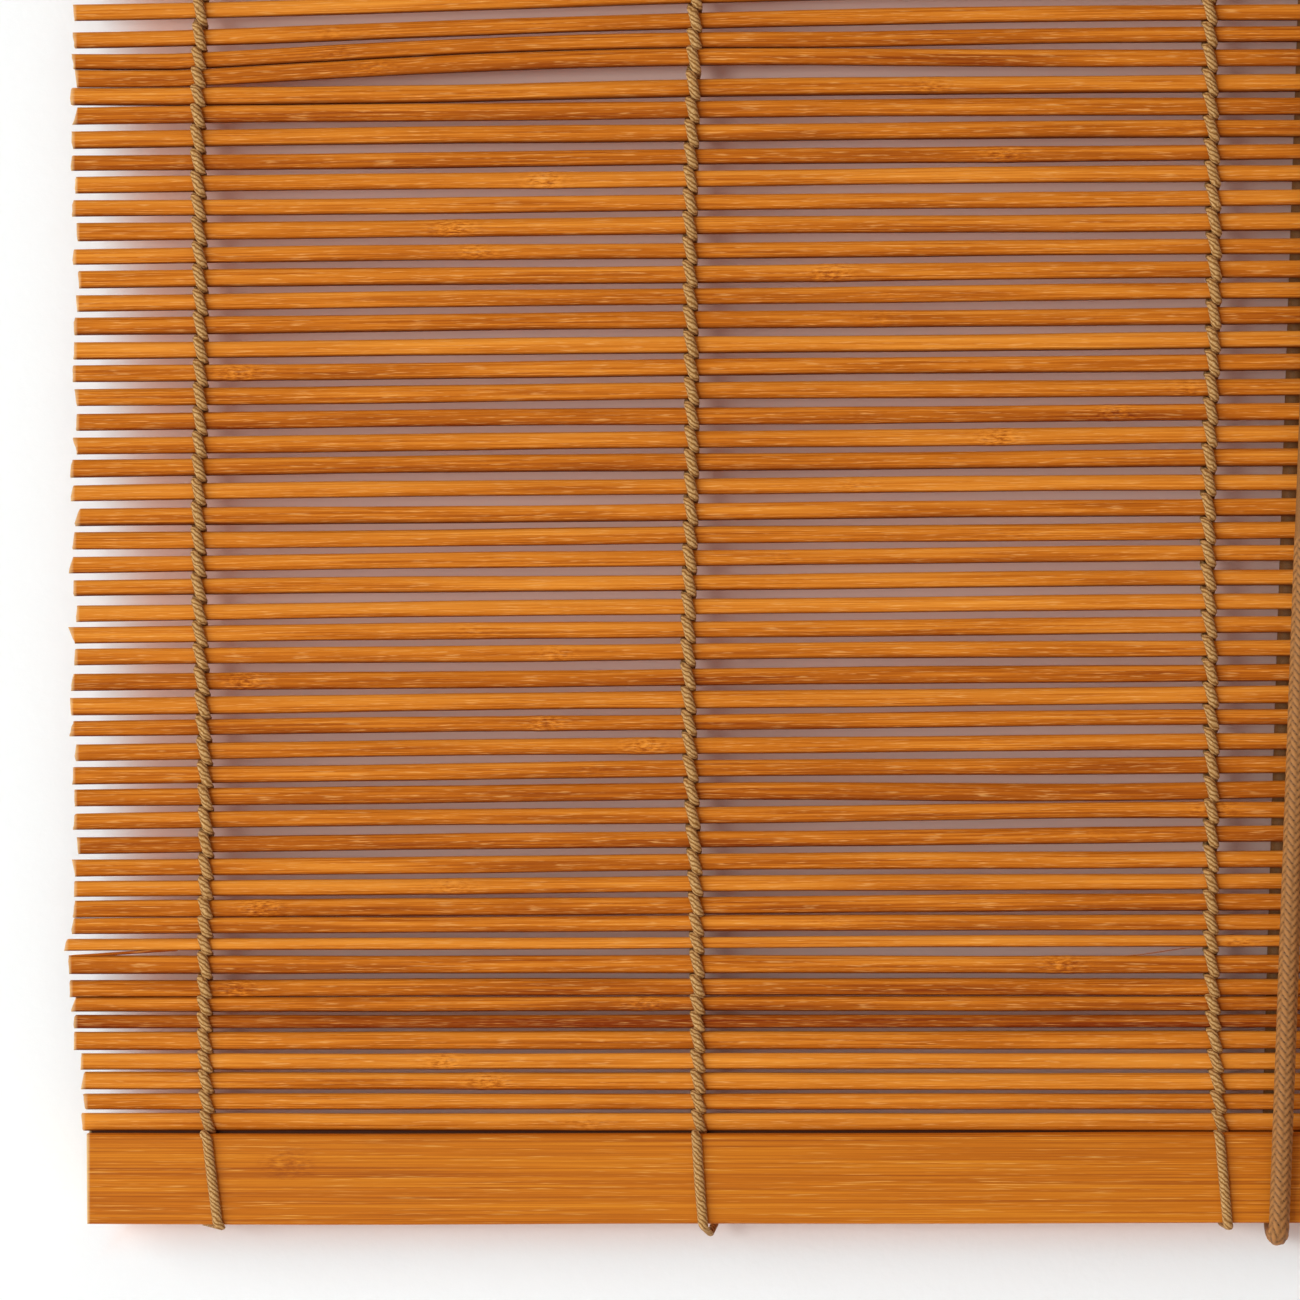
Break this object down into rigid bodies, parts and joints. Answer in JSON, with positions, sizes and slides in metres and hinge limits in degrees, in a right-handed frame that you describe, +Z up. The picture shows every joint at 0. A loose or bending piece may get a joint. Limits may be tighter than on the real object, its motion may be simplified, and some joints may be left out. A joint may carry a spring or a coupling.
{
  "type": "bamboo roll-up blind",
  "caption": "Roll-up blind of stained bamboo reeds, twined by warp cords between flat slat battens, with wall hangers, pulleys, braided lift cords and a wooden pull.",
  "frame": {"origin": "midway between the two hanger holes, on the wall plane at the hangers' backs", "axes": "+X along the blind to the viewer's right, +Y into the wall, +Z up; the front faces -Y"},
  "size_m": [0.9, 0.0349, 0.7132],
  "materials": {
    "stained_reed": "stained satin",
    "bamboo_slat": "stained satin",
    "twine": "twisted",
    "braided_cord": "braided",
    "zinc_steel": "zinc plated",
    "nylon": "moulded",
    "turned_wood": "turned, satin"
  },
  "bodies": {
    "blind": {"reed_mat": "stained_reed", "bottom_batten_front": "bamboo_slat", "bottom_batten_rear": "bamboo_slat", "head_batten_front": "bamboo_slat", "head_batten_rear": "bamboo_slat", "hanger_left": "zinc_steel", "hanger_right": "zinc_steel", "hanger_screws": "zinc_steel", "left_pulley_bracket": "zinc_steel", "left_pulley_pin": "zinc_steel", "right_pulley_bracket": "zinc_steel", "right_pulley_pin": "zinc_steel", "pulley_screws": "zinc_steel", "cord_staples": "zinc_steel", "anchor_knot_left": "braided_cord", "anchor_knot_right": "braided_cord", "lift_cord_left": "braided_cord", "lift_cord_right": "braided_cord", "wooden_pull": "turned_wood", "pull_knot": "braided_cord", "warp_twine_1": "twine", "warp_twine_2": "twine", "warp_twine_3": "twine", "warp_twine_4": "twine", "warp_twine_5": "twine", "warp_twine_6": "twine", "warp_twine_7": "twine", "warp_twine_8": "twine"},
    "left_sheave": {"left_pulley_sheave": "nylon"},
    "right_inner_sheave": {"right_pulley_inner_sheave": "nylon"},
    "right_outer_sheave": {"right_pulley_outer_sheave": "nylon"}
  },
  "joints": [
    {"name": "left_sheave_spin", "type": "hinge", "parent": "blind", "child": "left_sheave", "pos_m": [-0.135, -0.0218, -0.026], "axis": [0, 1, 0], "continuous": true},
    {"name": "right_inner_sheave_spin", "type": "hinge", "parent": "blind", "child": "right_inner_sheave", "pos_m": [0.135, -0.0218, -0.026], "axis": [0, 1, 0], "continuous": true},
    {"name": "right_outer_sheave_spin", "type": "hinge", "parent": "blind", "child": "right_outer_sheave", "pos_m": [0.135, -0.0287, -0.026], "axis": [0, 1, 0], "continuous": true}
  ],
  "couplings": [
    {"joint": "right_inner_sheave_spin", "follows": "left_sheave_spin", "ratio": 1},
    {"joint": "right_outer_sheave_spin", "follows": "left_sheave_spin", "ratio": 1}
  ]
}
